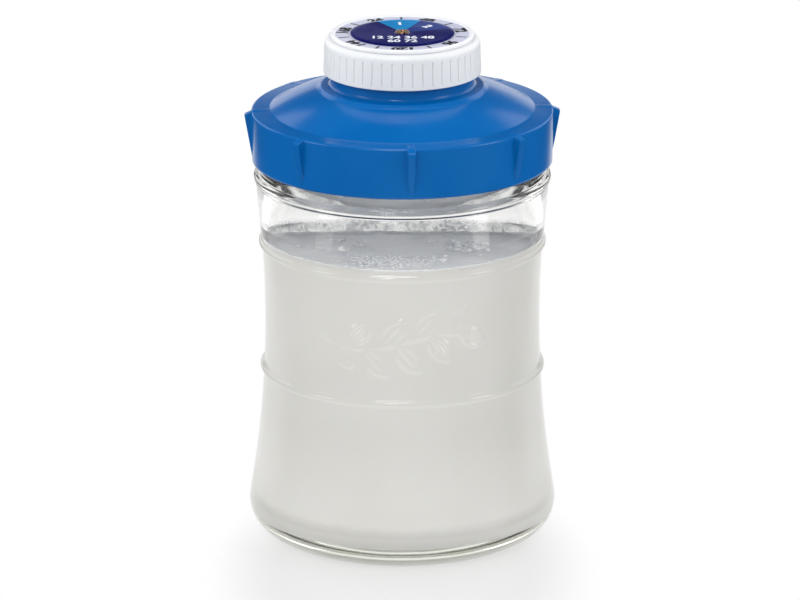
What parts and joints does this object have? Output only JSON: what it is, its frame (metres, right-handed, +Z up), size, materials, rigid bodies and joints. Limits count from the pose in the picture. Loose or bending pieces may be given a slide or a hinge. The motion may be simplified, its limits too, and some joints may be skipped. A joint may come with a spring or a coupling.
{
  "type": "fermentation bottle",
  "caption": "Waisted glass jar filled with kefir, closed by a finned screw lid whose pouring neck carries a ribbed cap with a day dial that turns.",
  "frame": {"origin": "on the axis of the jar, at the surface it stands on", "axes": "+Z up along the axis of the jar, from its base to its cap; the front, which the lid's front fin nearly faces, is -Y"},
  "size_m": [0.108, 0.108, 0.1776],
  "materials": {
    "clear_glass": "clear, slightly green in thick places",
    "kefir": "milky liquid, glossy on top",
    "lid_blue": "satin moulded plastic",
    "cap_white": "satin moulded plastic",
    "dial_print": "printed plastic with a frosted rim",
    "disc_print": "printed plastic, navy with two blue fields",
    "eyelet_brass": "rolled metal, slightly dull"
  },
  "bodies": {
    "bottle": {"jar": "clear_glass", "kefir": "kefir", "lid": "lid_blue", "cap": "cap_white", "dial_base": "dial_print", "dial_eyelet": "eyelet_brass"},
    "dial": {"dial_disc": "disc_print"}
  },
  "joints": [
    {"name": "dial_turn", "type": "hinge", "parent": "bottle", "child": "dial", "pos_m": [0, 0, 0.17697], "axis": [0, 0, 1], "continuous": true}
  ]
}
